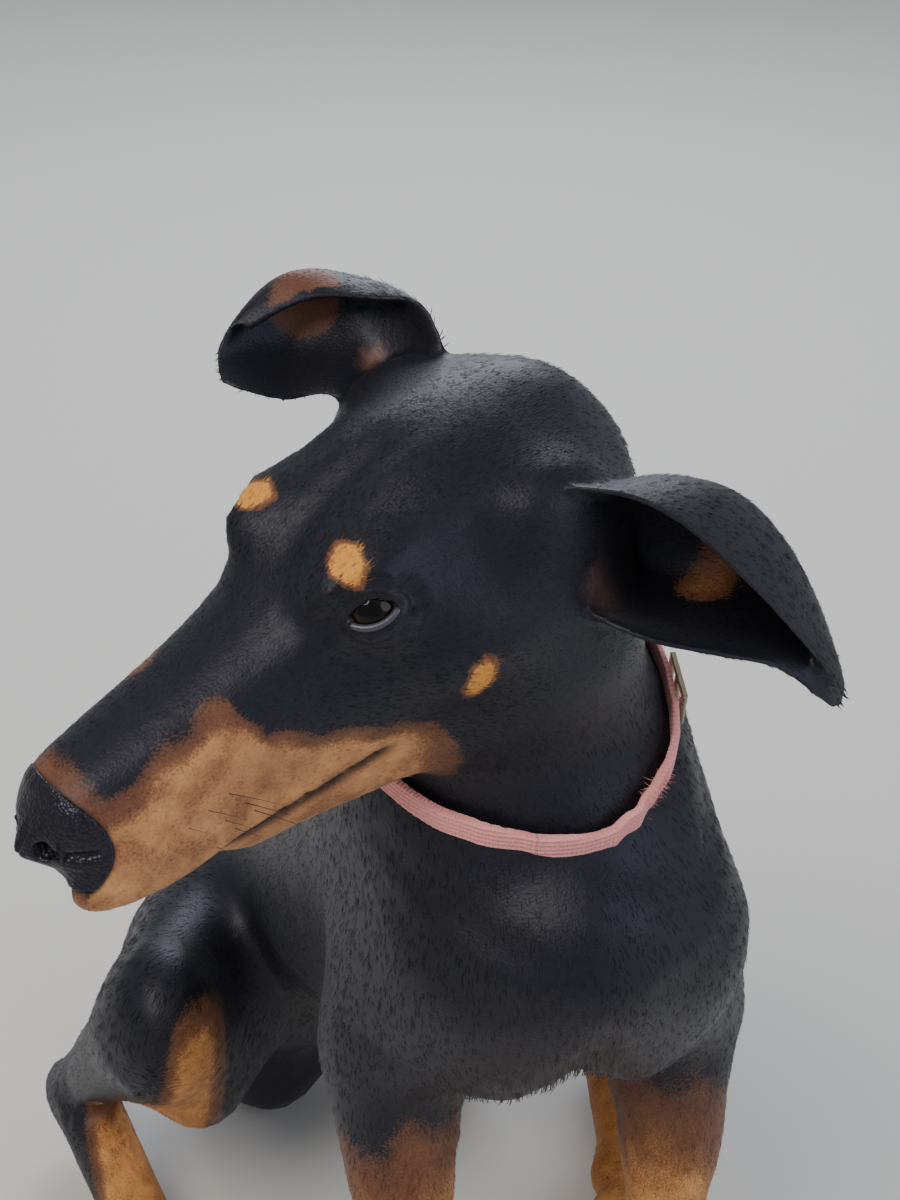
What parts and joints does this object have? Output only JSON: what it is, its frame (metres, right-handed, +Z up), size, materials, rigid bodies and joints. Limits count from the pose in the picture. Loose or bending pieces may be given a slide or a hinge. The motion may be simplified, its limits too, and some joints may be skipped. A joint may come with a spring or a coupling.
{
  "type": "doberman puppy figure",
  "caption": "Life-size still figure of a young doberman pinscher with natural ears, sitting with its head turned to its right, wearing a flat collar.",
  "frame": {"origin": "on the floor, under the middle of the figure's bounding box", "axes": "+Z up, -Y the way the chest faces, +X the dog's own left"},
  "size_m": [0.3244, 0.534, 0.4982],
  "materials": {
    "coat": "short glossy black hair",
    "tan": "short rust-tan hair",
    "ear": "short black hair over thin skin",
    "nose": "moist pebbled black",
    "eye": "wet dark brown",
    "webbing": "worn salmon-pink woven band",
    "hardware": "worn nickel plate"
  },
  "bodies": {
    "root": {"head": "coat", "jaw": "tan", "nose": "nose", "eye_left": "eye", "eye_right": "eye", "ear_left": "ear", "ear_right": "ear", "neck": "coat", "chest": "coat", "loin": "coat", "rump": "coat", "tail": "coat", "foreleg_left": "tan", "forepaw_left": "tan", "foreleg_right": "tan", "forepaw_right": "tan", "hindleg_left": "coat", "hindfoot_left": "tan", "hindleg_right": "coat", "hindfoot_right": "tan", "collar": "webbing", "collar_slide": "hardware", "collar_ring": "hardware"}
  },
  "joints": []
}
